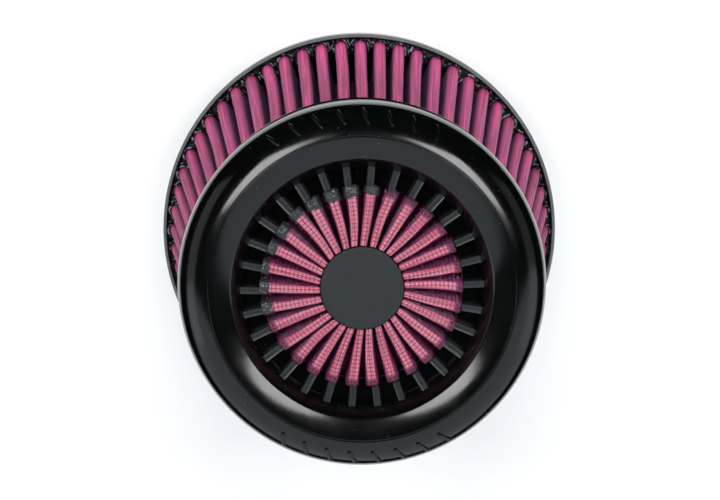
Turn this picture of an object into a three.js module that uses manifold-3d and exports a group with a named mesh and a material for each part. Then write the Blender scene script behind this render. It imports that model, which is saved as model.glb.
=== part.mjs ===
// Clamp-on round tapered air filter with a pleated front face, in millimetres, +Z up.
// The filter's axis is Z. It stands on the end of its rubber neck, with the front rim on top.
import * as THREE from 'three';
import { mergeVertices } from 'three/addons/utils/BufferGeometryUtils.js';
import Module from 'manifold-3d';

const wasm = await Module();
wasm.setup();

// ---- driving dimensions ----

// whole filter
const neckLength = 30; // from the open end to the back of the base ring
const bodyLength = 146; // from the back of the base ring to the front of the rim
const neckBoreRadius = 38.1; // a 76.2 mm intake tube
const neckWall = 4;
const baseRadius = 76;
const rimRadius = 62.5;

// gaps between neighbours
const pottingGap = 0.3; // between a pleat end and the rubber that holds it
const layerGap = 0.12; // between the cotton and its wire mesh
const clampGap = 0.3; // between the parts of the clamp, and under its band

// base ring and neck
const basePlate = 4.2;
const baseLipHeight = 4.6; // how far the lip reaches up round the pleat ends
const baseLipWall = 1.8;
const beadHeight = 3.5; // the stop bead at the open end of the neck
const beadProud = 1.4;

// pleats round the side
const outerPleats = 60;
const outerPleatDepth = 16;
const outerCrestWidthRear = 4.9;
const outerCrestWidthFront = 4.1;
const outerValleyWidthRear = 1.8;
const outerValleyWidthFront = 0.9;
const cottonThickness = 1.0;
const meshThickness = 0.35;

// pleats across the front
const frontPleats = 30;
const frontPleatTurn = 1.5; // degrees from +X to the first front pleat
const frontPleatDepth = 15;
const frontCrestDrop = 5.8; // below the front of the rim, at the outer ends
const frontCrestRise = 1.3; // the pleats rise this much towards the centre
const frontOuterRadius = 34;
const frontCottonThickness = 0.45;
const frontMeshThickness = 0.2;
const frontLayerGap = 0.08;
const frontCrestWidthOuter = 4.0;
const frontCrestWidthInner = 2.3;
const frontValleyWidthOuter = 1.5;
const frontValleyWidthInner = 0.5;

// front rim
const rimBeadWidth = 10.3; // from the rim's outside to the crease, where its bead meets the bowl
const rimBeadRadius = 12.4;
const bowlDepth = 5.3;
const shelfDepth = 11; // the floor between the bars
const shelfUnder = 1.2; // how far the shelf reaches past the back of the front pleats
const skirtWall = 2.3;
const skirtLength = 33; // from the front of the rim to the end of its skirt
const skirtFlare = 0.4;
const troughDepth = 7.6; // how far the side pleats reach into the rim
const troughLipWall = 2.8;

// bars from the bowl to the pleat crests
const barLength = 6.6;
const barWidth = 2.55;
const barInnerDrop = 0.3;

// grip ribs on the rim
const gripRibs = 8; // in each of two groups
const gripSpread = 56; // degrees covered by a group
const gripCentres = [93, 271]; // degrees from +X
const gripWidth = 1.7;
const gripProud = 0.7;
const gripSlant = 24; // degrees
const gripFrom = 24; // degrees round the rim's bead, from its top
const gripTo = 58;

// centre cap
const capRadius = 14.1;
const capDrop = 4.1; // below the front of the rim
const capFlangeRadius = 16.6;
const capFlange = 2;

// hose clamp
const clampHeight = 14.6; // from the open end of the neck to the middle of the band
const bandWidth = 12.7;
const bandThickness = 0.8;
const clampAngle = -90; // degrees from +X to the screw housing
const tailBefore = 8.4; // degrees of tail before the middle of the housing
const tailAfter = 52;
const slotPitch = 3.175;
const slotCount = 11;
const screwThreadRadius = 3.9;
const screwThreadDepth = 0.9;
const threadGap = 0.2; // between the thread and the band's tail
const housingLength = 14;
const housingWall = 0.7;
const screwHeadLength = 6.5;
const screwHeadRadius = 4.4;

// sides on everything turned about an axis
const roundSteps = 48;

// ---- values worked out from them ----

const height = neckLength + bodyLength;
const baseBack = neckLength;
const packRear = baseBack + basePlate + pottingGap;
const packFront = height - skirtLength + troughDepth;
const neckRadius = neckBoreRadius + neckWall;
const outerTipRadiusRear = baseRadius - baseLipWall - 2 * pottingGap;
const outerTipRadiusFront = rimRadius - skirtWall - 2 * pottingGap;
const creaseRadius = rimRadius - rimBeadWidth;
const bowlRadius = frontOuterRadius + barLength;
const frontInnerRadius = capRadius + pottingGap;
const outerLayers = cottonThickness + layerGap + meshThickness;
const frontLayers = 2 * (frontMeshThickness + frontLayerGap) + frontCottonThickness;
const frontPackBack = height - frontCrestDrop - frontPleatDepth - frontLayers;

const root = new THREE.Group();

// ---- materials ----

const material = (colour, roughness, metalness = 0) =>
  new THREE.MeshStandardMaterial({ color: colour, roughness, metalness });
const blackRubber = material(0x17191b, 0.28);
const capRubber = material(0x3b4046, 0.6);
const oiledCotton = material(0xb8356f, 0.85);
const coatedWire = material(0xe0708a, 0.45, 0.3);
const plainWire = material(0x9a9ca0, 0.4, 0.9);
const stainless = material(0xb9bcc0, 0.3, 1);
const zincSteel = material(0xc6c8c4, 0.35, 1);

// ---- helpers ----

const radians = THREE.MathUtils.degToRad;

function addMesh(name, geometry, look, parent = root) {
  const mesh = new THREE.Mesh(geometry, look);
  mesh.name = name;
  parent.add(mesh);
  return mesh;
}

// A closed profile of [radius, z] points, anticlockwise, turned about Z.
function turned(profile, segments) {
  const points = [...profile, profile[0]].map(([r, z]) => new THREE.Vector2(r, z));
  return new THREE.LatheGeometry(points, segments).rotateX(Math.PI / 2);
}

function bareGeometry(positions, index) {
  const geometry = new THREE.BufferGeometry();
  geometry.setAttribute('position', new THREE.Float32BufferAttribute(positions, 3));
  geometry.setIndex(index);
  return geometry;
}

// Points on an arc in the [radius, z] plane, angle measured from the radius direction.
function arc(r, z, radius, fromDegrees, toDegrees, steps) {
  const points = [];
  for (let i = 0; i <= steps; i += 1) {
    const angle = radians(THREE.MathUtils.lerp(fromDegrees, toDegrees, i / steps));
    points.push([r + radius * Math.cos(angle), z + radius * Math.sin(angle)]);
  }
  return points;
}

function toSolid(geometry) {
  const bare = geometry.clone();
  bare.deleteAttribute('normal');
  bare.deleteAttribute('uv');
  const merged = mergeVertices(bare, 1e-4);
  return new wasm.Manifold(new wasm.Mesh({
    numProp: 3,
    vertProperties: new Float32Array(merged.attributes.position.array),
    triVerts: new Uint32Array(merged.index.array),
  }));
}

function toGeometry(solid) {
  const { vertProperties, triVerts } = solid.getMesh();
  const geometry = new THREE.BufferGeometry();
  geometry.setAttribute('position', new THREE.BufferAttribute(vertProperties, 3));
  geometry.setIndex(new THREE.BufferAttribute(triVerts, 1));
  return geometry;
}

// A closed layer between two faces, each given by its two end rings of matching points. Both faces
// are split along the same diagonals, so the layer keeps its thickness where they twist.
function layerBody(faceStart, faceEnd, backEnd, backStart) {
  const rings = [faceStart, faceEnd, backEnd, backStart];
  const count = faceStart.length;
  const positions = rings.flat().flatMap((p) => [p.x, p.y, p.z]);
  const index = [];
  rings.forEach((ring, i) => {
    const here = i * count;
    const next = ((i + 1) % rings.length) * count;
    for (let j = 0; j < count; j += 1) {
      const k = (j + 1) % count;
      if (ring === backEnd) index.push(here + j, here + k, next + j, here + k, next + k, next + j);
      else index.push(here + j, here + k, next + k, here + j, next + k, next + j);
    }
  });
  return bareGeometry(positions, index);
}

// ---- pleat shapes ----

// A pleat's corners as [across, depth], from the middle of one valley to the next.
function pleatCorners(crestWidth, valleyWidth, depth, pitchAtTip, rounded) {
  const crest = crestWidth / 2;
  const valley = valleyWidth / 2;
  const top = rounded
    ? [[-crest, crest * 0.75], [-crest * 0.5, 0], [crest * 0.5, 0], [crest, crest * 0.75]]
    : [[-crest, 0], [crest, 0]];
  return [[valley - pitchAtTip / 2, depth], ...top, [pitchAtTip / 2 - valley, depth]];
}

// Moves a closed flat outline inwards by a distance, keeping its corners.
function inset(outline, distance) {
  const count = outline.length;
  return outline.map((point, i) => {
    const before = outline[(i + count - 1) % count];
    const after = outline[(i + 1) % count];
    const inTurn = point.clone().sub(before).normalize();
    const outTurn = after.clone().sub(point).normalize();
    const normal = new THREE.Vector2(-inTurn.y - outTurn.y, inTurn.x + outTurn.x).normalize();
    const reach = distance / (normal.x * -inTurn.y + normal.y * inTurn.x);
    return point.clone().addScaledVector(normal, reach);
  });
}

// ---- pleats round the side ----

// The outside of the side pleats as a flat outline at one end of the pack.
function sideOutline(tipRadius, crestWidth, valleyWidth) {
  const valleyPitch = (2 * Math.PI * (tipRadius - outerPleatDepth)) / outerPleats;
  const corners = pleatCorners(crestWidth, valleyWidth, outerPleatDepth, valleyPitch, true);
  const outline = [];
  for (let i = 0; i < outerPleats; i += 1) {
    const middle = (i * 2 * Math.PI) / outerPleats;
    corners.forEach(([across, depth]) => {
      const radius = tipRadius - depth;
      const angle = middle + across / radius;
      outline.push(new THREE.Vector2(radius * Math.cos(angle), radius * Math.sin(angle)));
    });
  }
  return outline;
}

function sideLayer(name, from, thickness, look) {
  const ends = [
    { z: packRear, outline: sideOutline(outerTipRadiusRear, outerCrestWidthRear, outerValleyWidthRear) },
    { z: packFront, outline: sideOutline(outerTipRadiusFront, outerCrestWidthFront, outerValleyWidthFront) },
  ];
  const ring = (end, depth) =>
    inset(end.outline, depth).map((p) => new THREE.Vector3(p.x, p.y, end.z));
  const [rear, front] = ends;
  addMesh(name, layerBody(
    ring(rear, from),
    ring(front, from),
    ring(front, from + thickness),
    ring(rear, from + thickness),
  ), look);
}

sideLayer('side_cotton', 0, cottonThickness, oiledCotton);
sideLayer('side_inner_mesh', cottonThickness + layerGap, meshThickness, plainWire);

// ---- pleats across the front ----

// One layer of the front pleats. Offsets are taken square to the pleat's own section, unrolled flat.
function frontSection(radius, crestWidth, valleyWidth, crestZ, offset) {
  const pitch = (2 * Math.PI * radius) / frontPleats;
  const corners = pleatCorners(crestWidth, valleyWidth, frontPleatDepth, pitch, false);
  const [valleyIn, crestIn, crestOut, valleyOut] = corners;
  // the side's slope gives how far an offset moves the corners along the section
  const run = crestIn[0] - valleyIn[0];
  const slant = Math.hypot(run, frontPleatDepth);
  const shift = (offset * (slant - run)) / frontPleatDepth;
  const moved = [
    [valleyIn[0] + shift, valleyIn[1] + offset],
    [crestIn[0] + shift, crestIn[1] + offset],
    [crestOut[0] - shift, crestOut[1] + offset],
    [valleyOut[0] - shift, valleyOut[1] + offset],
  ];
  const ring = [];
  for (let i = 0; i < frontPleats; i += 1) {
    const middle = radians(frontPleatTurn) + (i * 2 * Math.PI) / frontPleats;
    moved.forEach(([across, depth]) => {
      const angle = middle + across / radius;
      ring.push(new THREE.Vector3(radius * Math.cos(angle), radius * Math.sin(angle), crestZ - depth));
    });
  }
  return ring;
}

function frontLayer(name, from, thickness, look) {
  const outerZ = height - frontCrestDrop;
  const innerZ = outerZ + frontCrestRise;
  const outer = (offset) =>
    frontSection(frontOuterRadius, frontCrestWidthOuter, frontValleyWidthOuter, outerZ, offset);
  const inner = (offset) =>
    frontSection(frontInnerRadius, frontCrestWidthInner, frontValleyWidthInner, innerZ, offset);
  addMesh(name, layerBody(
    outer(from),
    inner(from),
    inner(from + thickness),
    outer(from + thickness),
  ), look);
}

const frontCottonFrom = frontMeshThickness + frontLayerGap;
const frontBackMeshFrom = frontCottonFrom + frontCottonThickness + frontLayerGap;
frontLayer('front_face_mesh', 0, frontMeshThickness, coatedWire);
frontLayer('front_cotton', frontCottonFrom, frontCottonThickness, oiledCotton);
frontLayer('front_back_mesh', frontBackMeshFrom, frontMeshThickness, plainWire);

// ---- base ring and neck, moulded in one ----

function outerTipRadiusAt(z) {
  const share = (z - packRear) / (packFront - packRear);
  return THREE.MathUtils.lerp(outerTipRadiusRear, outerTipRadiusFront, share);
}

function foldRadiusAt(z) {
  return outerTipRadiusAt(z) - outerPleatDepth - outerLayers;
}

function buildBase() {
  const floor = baseBack + basePlate;
  const lipTop = floor + baseLipHeight;
  const lipInner = outerTipRadiusRear + 2 * pottingGap;
  const innerLipOuter = foldRadiusAt(lipTop) - 2 * pottingGap;
  const innerLipInner = innerLipOuter - troughLipWall;
  const edge = 1;
  addMesh('base_ring_and_neck', turned([
    [neckBoreRadius, 0],
    [neckRadius + beadProud - edge / 2, 0],
    [neckRadius + beadProud, edge / 2],
    [neckRadius + beadProud, beadHeight - edge / 2],
    [neckRadius, beadHeight + edge / 2],
    [neckRadius, baseBack - 2 * edge],
    [neckRadius + 2 * edge, baseBack],
    [baseRadius - edge, baseBack],
    [baseRadius, baseBack + edge],
    [baseRadius, lipTop - edge / 2],
    [baseRadius - edge / 2, lipTop],
    [lipInner, lipTop],
    [lipInner, floor],
    [innerLipOuter, floor],
    [innerLipOuter, lipTop],
    [innerLipInner, lipTop],
    [innerLipInner - edge, floor],
    [neckBoreRadius + 2 * edge, floor],
    [neckBoreRadius, floor - 2 * edge],
  ], roundSteps), blackRubber);
}
buildBase();

// ---- front rim, moulded in one with its bars and grip ribs ----

const beadCentreRadius = rimRadius - rimBeadRadius;
const beadCentreZ = height
  - Math.sqrt(rimBeadRadius ** 2 - (creaseRadius - beadCentreRadius) ** 2);

function rimProfile() {
  const creaseTurn = THREE.MathUtils.radToDeg(
    Math.acos((creaseRadius - beadCentreRadius) / rimBeadRadius));
  const skirtEnd = height - skirtLength;
  const skirtInner = outerTipRadiusAt(skirtEnd) + 2 * pottingGap;
  const ceiling = packFront + pottingGap;
  const lipOuter = foldRadiusAt(packFront) - 2 * pottingGap;
  const shelfTop = height - shelfDepth;
  const shelfBottom = frontPackBack - shelfUnder;
  const shelfInner = frontOuterRadius + pottingGap;
  const bowlCurve = new THREE.QuadraticBezierCurve(
    new THREE.Vector2(bowlRadius, height - bowlDepth),
    new THREE.Vector2(bowlRadius + (creaseRadius - bowlRadius) * 0.4, height - bowlDepth * 0.18),
    new THREE.Vector2(creaseRadius, height));
  const bowl = bowlCurve.getPoints(6).map((p) => [p.x, p.y]);
  return [
    [shelfInner, shelfBottom],
    [lipOuter - troughLipWall, shelfBottom],
    [lipOuter - troughLipWall, skirtEnd],
    [lipOuter, skirtEnd],
    [lipOuter, ceiling],
    [outerTipRadiusAt(ceiling) + 2 * pottingGap, ceiling],
    [skirtInner, skirtEnd],
    [rimRadius + skirtFlare - pottingGap, skirtEnd],
    [rimRadius + skirtFlare, skirtEnd + pottingGap],
    ...arc(beadCentreRadius, beadCentreZ, rimBeadRadius, 0, creaseTurn, 7).slice(0, -1),
    ...bowl.reverse(),
    [bowlRadius, shelfTop],
    [shelfInner, shelfTop],
  ];
}

// A bar stands on the shelf, between the bowl's wall and the end of one pleat.
function barSolid() {
  const wallBite = 1;
  const shelfBite = 1;
  const inner = frontOuterRadius + pottingGap + 0.1;
  const outer = bowlRadius + wallBite;
  const foot = height - shelfDepth - shelfBite;
  const outerTop = height - bowlDepth - 0.25;
  const innerTop = outerTop - barInnerDrop;
  const bevel = 0.35;
  const shape = new THREE.Shape([
    new THREE.Vector2(-barWidth / 2, foot),
    new THREE.Vector2(barWidth / 2, foot),
    new THREE.Vector2(barWidth / 2, innerTop - bevel),
    new THREE.Vector2(barWidth / 2 - bevel, innerTop),
    new THREE.Vector2(bevel - barWidth / 2, innerTop),
    new THREE.Vector2(-barWidth / 2, innerTop - bevel),
  ]);
  const geometry = new THREE.ExtrudeGeometry(shape, { depth: outer - inner, bevelEnabled: false });
  // the section lies across Y and Z, and the bar runs out along X
  geometry.applyMatrix4(new THREE.Matrix4().makeBasis(
    new THREE.Vector3(0, 1, 0), new THREE.Vector3(0, 0, 1), new THREE.Vector3(1, 0, 0)));
  geometry.translate(inner, 0, 0);
  return toSolid(geometry);
}

// A grip rib follows the rim's round bead and slants across it.
function gripSolid() {
  const buried = 1.2;
  const middle = 90 - (gripFrom + gripTo) / 2;
  const outside = arc(0, 0, rimBeadRadius + gripProud, 90 - gripTo, 90 - gripFrom, 4);
  const inside = arc(0, 0, rimBeadRadius - buried, 90 - gripFrom, 90 - gripTo, 4);
  const shape = new THREE.Shape([...outside, ...inside].map(([r, z]) => new THREE.Vector2(r, z)));
  const geometry = new THREE.ExtrudeGeometry(shape, { depth: gripWidth, bevelEnabled: false });
  geometry.translate(0, 0, -gripWidth / 2);
  // stand the section up in the XZ plane, then slant it about its own middle
  geometry.rotateX(Math.PI / 2);
  const normal = new THREE.Vector3(Math.cos(radians(middle)), 0, Math.sin(radians(middle)));
  geometry.applyMatrix4(new THREE.Matrix4().makeRotationAxis(normal, radians(gripSlant)));
  geometry.translate(beadCentreRadius, 0, beadCentreZ);
  return toSolid(geometry);
}

function buildRim() {
  let rim = toSolid(turned(rimProfile(), roundSteps));
  const bar = barSolid();
  for (let i = 0; i < frontPleats; i += 1) {
    rim = rim.add(bar.rotate([0, 0, frontPleatTurn + (i * 360) / frontPleats]));
  }
  const rib = gripSolid();
  gripCentres.forEach((centre) => {
    for (let i = 0; i < gripRibs; i += 1) {
      rim = rim.add(rib.rotate([0, 0, centre + gripSpread * (i / (gripRibs - 1) - 0.5)]));
    }
  });
  addMesh('front_rim', toGeometry(rim), blackRubber);
}
buildRim();

// ---- centre cap, which holds the inner ends of the front pleats ----

function buildCap() {
  const top = height - capDrop;
  const flangeTop = frontPackBack - pottingGap;
  const edge = 0.5;
  addMesh('centre_cap', turned([
    [0, flangeTop - capFlange],
    [capFlangeRadius, flangeTop - capFlange],
    [capFlangeRadius, flangeTop],
    [capRadius, flangeTop],
    [capRadius, top - edge],
    [capRadius - edge, top],
    [0, top],
  ], roundSteps), capRubber);
}

// ---- seam strips, which close each pleated sheet into a ring ----

// A thin strip on the inside of one fold, running the length of the side pleats.
function buildSideSeam() {
  const thickness = 0.5;
  const width = 3.2;
  const lengthMargin = 9;
  const half = Math.PI / outerPleats;
  const rear = packRear + lengthMargin;
  const front = packFront - lengthMargin;
  const ring = (z) => {
    const outer = foldRadiusAt(z) * Math.cos(half / 2) - pottingGap;
    const inner = outer - thickness;
    return [[inner, -width / 2], [outer, -width / 2], [outer, width / 2], [inner, width / 2]]
      .map(([x, y]) => new THREE.Vector3(x, y, z).applyAxisAngle(new THREE.Vector3(0, 0, 1), half));
  };
  const rings = [ring(rear), ring(front)];
  const positions = rings.flat().flatMap((p) => [p.x, p.y, p.z]);
  addMesh('side_seam_strip', bareGeometry(positions, [
    0, 2, 1, 0, 3, 2, 4, 5, 6, 4, 6, 7,
    0, 1, 5, 0, 5, 4, 1, 2, 6, 1, 6, 5,
    2, 3, 7, 2, 7, 6, 3, 0, 4, 3, 4, 7,
  ]), zincSteel);
}

function buildFrontSeam() {
  const thickness = 0.5;
  const width = 1.8;
  const from = capFlangeRadius + 1;
  const to = frontOuterRadius - 1.5;
  const strip = new THREE.BoxGeometry(to - from, width, thickness);
  const mesh = addMesh('front_seam_strip', strip, zincSteel);
  const angle = radians(frontPleatTurn) + Math.PI / frontPleats;
  const middle = (from + to) / 2;
  mesh.position.set(middle * Math.cos(angle), middle * Math.sin(angle),
    frontPackBack - pottingGap - thickness / 2);
  mesh.rotation.z = angle;
}

buildCap();
buildSideSeam();
buildFrontSeam();

// ---- hose clamp ----

const bandInner = neckRadius + clampGap;
const bandOuter = bandInner + bandThickness;
const saddleInner = bandOuter + clampGap;
const saddleThickness = 0.6;
const tailInner = saddleInner + saddleThickness + clampGap;
const tailOuter = tailInner + bandThickness;
const screwAxisRadius = tailOuter + threadGap + screwThreadRadius;

// the clamp's parts are built with the screw housing towards +X, then turned into place
const clamp = new THREE.Group();
clamp.position.z = clampHeight;
clamp.rotation.z = radians(clampAngle);
root.add(clamp);

// A curved strip between two radii and two angles, with square edges.
function curvedStrip(inner, outer, width, fromDegrees, toDegrees, steps) {
  const shape = new THREE.Shape([
    ...arc(0, 0, outer, fromDegrees, toDegrees, steps),
    ...arc(0, 0, inner, toDegrees, fromDegrees, steps),
  ].map(([x, y]) => new THREE.Vector2(x, y)));
  const geometry = new THREE.ExtrudeGeometry(shape, { depth: width, bevelEnabled: false });
  return geometry.translate(0, 0, -width / 2);
}

function buildBand() {
  const half = bandWidth / 2;
  addMesh('clamp_band', turned([
    [bandInner, -half], [bandOuter, -half], [bandOuter, half], [bandInner, half],
  ], roundSteps), stainless, clamp);
}

function buildTail() {
  let tail = toSolid(curvedStrip(tailInner, tailOuter, bandWidth, -tailBefore, tailAfter, 16));
  const slotLength = 7.4;
  const slotWidth = 1.5;
  const slotLean = 7;
  const slot = new THREE.BoxGeometry(bandThickness * 4, slotWidth, slotLength);
  slot.rotateX(radians(slotLean));
  slot.translate((tailInner + tailOuter) / 2, 0, 0);
  const cutter = toSolid(slot);
  const step = THREE.MathUtils.radToDeg(slotPitch / tailOuter);
  for (let i = 0; i < slotCount; i += 1) {
    tail = tail.subtract(cutter.rotate([0, 0, step * (i - 1)]));
  }
  addMesh('clamp_tail', toGeometry(tail), stainless, clamp);
}

function buildSaddle() {
  const spread = THREE.MathUtils.radToDeg(housingLength / 2 / saddleInner);
  const outer = saddleInner + saddleThickness;
  addMesh('clamp_saddle', curvedStrip(saddleInner, outer, bandWidth, -spread, spread, 4),
    stainless, clamp);
}

// The housing is bent over the screw, and its two sides reach down past the band's edges.
function buildHousing() {
  const innerHalf = bandWidth / 2 + clampGap;
  const outerHalf = innerHalf + housingWall;
  const roofInner = screwThreadRadius + clampGap + 0.1;
  const roofOuter = roofInner + housingWall;
  const foot = bandOuter - 0.3;
  const shoulder = tailOuter + clampGap;
  const outside = arc(screwAxisRadius, 0, roofOuter, -72, 72, 8);
  const inside = arc(screwAxisRadius, 0, roofInner, 66, -66, 8);
  const shape = new THREE.Shape([
    [foot, -outerHalf],
    [shoulder + housingWall, -outerHalf],
    ...outside,
    [shoulder + housingWall, outerHalf],
    [foot, outerHalf],
    [foot, innerHalf],
    [shoulder, innerHalf],
    ...inside,
    [shoulder, -innerHalf],
    [foot, -innerHalf],
  ].map(([x, y]) => new THREE.Vector2(x, y)));
  const geometry = new THREE.ExtrudeGeometry(shape, { depth: housingLength, bevelEnabled: false });
  geometry.translate(0, 0, -housingLength / 2);
  // the section lies across X and Z, and the housing runs along Y
  geometry.rotateX(Math.PI / 2);
  addMesh('clamp_housing', geometry, stainless, clamp);
}

// The screw is a worm: its radius follows a helix, and it ends in a hexagon head.
function screwRings() {
  const around = 12;
  const rowsPerPitch = 6;
  const threadLength = housingLength - 1;
  const rows = Math.round((threadLength / slotPitch) * rowsPerPitch);
  const circle = (along, radiusAt) => Array.from({ length: around }, (_, i) => {
    const turn = i / around;
    const radius = radiusAt(turn);
    const angle = turn * 2 * Math.PI;
    return new THREE.Vector3(radius * Math.cos(angle), along, radius * Math.sin(angle));
  });
  const rings = [];
  for (let i = 0; i <= rows; i += 1) {
    const along = threadLength * (i / rows - 0.5);
    rings.push(circle(along, (turn) => {
      const phase = (along / slotPitch + turn) * 2 * Math.PI;
      return screwThreadRadius - screwThreadDepth * (0.5 - 0.5 * Math.cos(phase));
    }));
  }
  const collar = housingLength / 2 + clampGap;
  const flatRadius = screwHeadRadius * Math.cos(Math.PI / 6);
  const hexagon = (turn) => flatRadius / Math.cos((((turn * 6) % 1) - 0.5) * (Math.PI / 3));
  rings.push(circle(collar, () => screwThreadRadius - screwThreadDepth));
  rings.push(circle(collar, hexagon));
  rings.push(circle(collar + screwHeadLength, hexagon));
  return rings;
}

function buildScrew() {
  const rings = screwRings();
  const count = rings[0].length;
  const lastRing = (rings.length - 1) * count;
  const startCentre = rings.length * count;
  const endCentre = startCentre + 1;
  const positions = rings.flat().flatMap((p) => [p.x, p.y, p.z]);
  positions.push(0, rings[0][0].y, 0, 0, rings.at(-1)[0].y, 0);
  const index = [];
  for (let j = 0; j < count; j += 1) {
    const k = (j + 1) % count;
    for (let here = 0; here < lastRing; here += count) {
      const next = here + count;
      index.push(here + j, next + k, here + k, here + j, next + j, next + k);
    }
    index.push(startCentre, j, k, endCentre, lastRing + k, lastRing + j);
  }
  const geometry = bareGeometry(positions, index);
  geometry.translate(screwAxisRadius, 0, 0);
  addMesh('clamp_screw', geometry, zincSteel, clamp);
}

buildBand();
buildTail();
buildSaddle();
buildHousing();
buildScrew();

export default root;
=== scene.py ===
"""A clamp-on air filter: pleated cotton round the side and across the front, held in moulded black
rubber, with a worm-drive hose clamp on its neck. Metres, +Z along the filter's axis, neck down."""
import math
import random

import bpy
import numpy as np
from mathutils import Matrix, Vector, noise


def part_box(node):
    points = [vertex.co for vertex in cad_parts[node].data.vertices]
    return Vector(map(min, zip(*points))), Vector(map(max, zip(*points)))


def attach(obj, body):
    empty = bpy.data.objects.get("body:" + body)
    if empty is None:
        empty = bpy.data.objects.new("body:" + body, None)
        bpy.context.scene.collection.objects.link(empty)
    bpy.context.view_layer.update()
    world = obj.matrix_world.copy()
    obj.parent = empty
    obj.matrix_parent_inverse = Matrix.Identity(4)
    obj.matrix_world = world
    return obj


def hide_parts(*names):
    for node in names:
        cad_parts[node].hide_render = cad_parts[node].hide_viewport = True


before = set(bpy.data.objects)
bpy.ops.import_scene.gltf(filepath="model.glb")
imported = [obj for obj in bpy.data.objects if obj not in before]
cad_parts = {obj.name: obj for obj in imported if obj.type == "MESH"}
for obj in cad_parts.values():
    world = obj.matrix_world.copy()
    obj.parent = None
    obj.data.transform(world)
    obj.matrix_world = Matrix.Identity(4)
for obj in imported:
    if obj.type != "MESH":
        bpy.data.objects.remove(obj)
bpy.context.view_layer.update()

# ---- Base ring and neck ----
# One moulding of black polyurethane rubber, cast straight on to the rear ends of the side pleats.
# It has a flat back, a thin lip round the pleat tips and a short neck that pushes over the intake.

MM = 0.001
ROUND_STEPS = 288

BASE_RADIUS, _, LIP_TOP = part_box("base_ring_and_neck")[1]
NECK_LENGTH = 30 * MM
NECK_BORE = 38.1 * MM
NECK_RADIUS = 42.1 * MM
NECK_BEAD = NECK_RADIUS + 1.4 * MM
TROUGH_FLOOR = NECK_LENGTH + 4.2 * MM
LIP_WALL = 1.8 * MM
INNER_LIP = (52.2 * MM, 55.0 * MM)


def linear(hex_colour):
    """An sRGB colour such as 1a2b3c as linear red, green, blue and alpha."""
    values = [int(hex_colour[i:i + 2], 16) / 255 for i in (0, 2, 4)]
    return [v / 12.92 if v <= 0.04045 else ((v + 0.055) / 1.055) ** 2.4 for v in values] + [1]


def connect(tree, node, links):
    """Links outputs to a node's inputs, each a (node, output) or a node with only one in use."""
    for name, source in links.items():
        if isinstance(source, tuple):
            output = source[0].outputs[source[1]]
        else:
            output = next(out for out in source.outputs if out.enabled)
        tree.links.new(output, node.inputs[name])


def add_node(tree, kind, settings=None, links=None):
    """A shader node with its settings, and its inputs linked from other nodes' outputs."""
    node = tree.nodes.new("ShaderNode" + kind)
    for name, value in (settings or {}).items():
        if isinstance(name, int) or name in node.inputs:
            node.inputs[name].default_value = value
        else:
            setattr(node, name, value)
    connect(tree, node, links or {})
    return node


def new_material(name, settings):
    """A material, its tree, and its shader with what is the same all over the surface."""
    material = bpy.data.materials.new(name)
    material.use_nodes = True
    shader = material.node_tree.nodes["Principled BSDF"]
    for socket, value in settings.items():
        shader.inputs[socket].default_value = value
    return material, material.node_tree, shader


def moulded_rubber(name, colour, roughness, orange_peel):
    """Cast polyurethane: near black and shiny, with the mould's faint orange peel, a little bloom
    that dulls it in patches, and the odd speck of dust."""
    material, tree, shader = new_material(name, {"IOR": 1.5})
    place = (add_node(tree, "TexCoord"), "Object")
    # orange peel about 1.5 mm across, and bloom in patches about 12 mm across
    peel = add_node(tree, "TexNoise", {"Scale": 1 / (1.5 * MM), "Detail": 3.0}, {"Vector": place})
    bloom = add_node(tree, "TexNoise", {"Scale": 1 / (12 * MM), "Detail": 4.0}, {"Vector": place})
    dulling = add_node(tree, "MapRange", {"From Min": 0.35, "From Max": 0.7, "To Min": roughness,
                                          "To Max": roughness + 0.07}, {"Value": bloom})
    # dust specks 0.3 mm across, thinly spread
    dust = add_node(tree, "TexVoronoi", {"Scale": 1 / (3.2 * MM)}, {"Vector": place})
    speck = add_node(tree, "MapRange", {"From Min": 0.045, "From Max": 0.03, "To Max": 0.5},
                     {"Value": dust})
    tint = add_node(tree, "Mix", {"data_type": "RGBA", "A": linear(colour), "B": linear("8a8f92")},
                    {"Factor": speck})
    bump = add_node(tree, "Bump", {"Strength": orange_peel, "Distance": 0.02 * MM},
                    {"Height": peel})
    connect(tree, shader, {"Base Color": tint, "Roughness": dulling, "Normal": bump})
    return material


def add_piece(name, points, faces, material, sharp_degrees, node=None, body="filter",
              slot="black_rubber"):
    """A mesh object that rides on a body in the material it is given, and takes the place of a CAD
    node if one is given. The slot it is given is not used. It is smooth except where faces meet at
    a sharp angle."""
    mesh = bpy.data.meshes.new(name)
    mesh.from_pydata([tuple(p) for p in points], [], [tuple(int(i) for i in f) for f in faces])
    mesh.update()
    mesh.polygons.foreach_set("use_smooth", [True] * len(mesh.polygons))
    mesh.set_sharp_from_angle(angle=math.radians(sharp_degrees))
    mesh.materials.append(material)
    piece = bpy.data.objects.new(name, mesh)
    bpy.context.scene.collection.objects.link(piece)
    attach(piece, body)
    if node:
        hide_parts(node)
    return piece


def rounded_outline(corners, steps=5):
    """A closed outline of (radius, z) points from corners as (radius, z, fillet radius in mm)."""
    outline = []
    count = len(corners)
    for i, (x, y, fillet) in enumerate(corners):
        here = Vector((x, y))
        if fillet <= 0:
            outline.append(here)
            continue
        before = (Vector(corners[i - 1][:2]) - here).normalized()
        after = (Vector(corners[(i + 1) % count][:2]) - here).normalized()
        half = before.angle(after) / 2
        reach = fillet * MM / math.tan(half)
        centre = here + (before + after).normalized() * (fillet * MM / math.sin(half))
        start = here + before * reach - centre
        turn = start.angle_signed(here + after * reach - centre)
        for k in range(steps + 1):
            outline.append(centre + Matrix.Rotation(-turn * k / steps, 2) @ start)
    return [(p.x, p.y) for p in outline]


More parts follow.
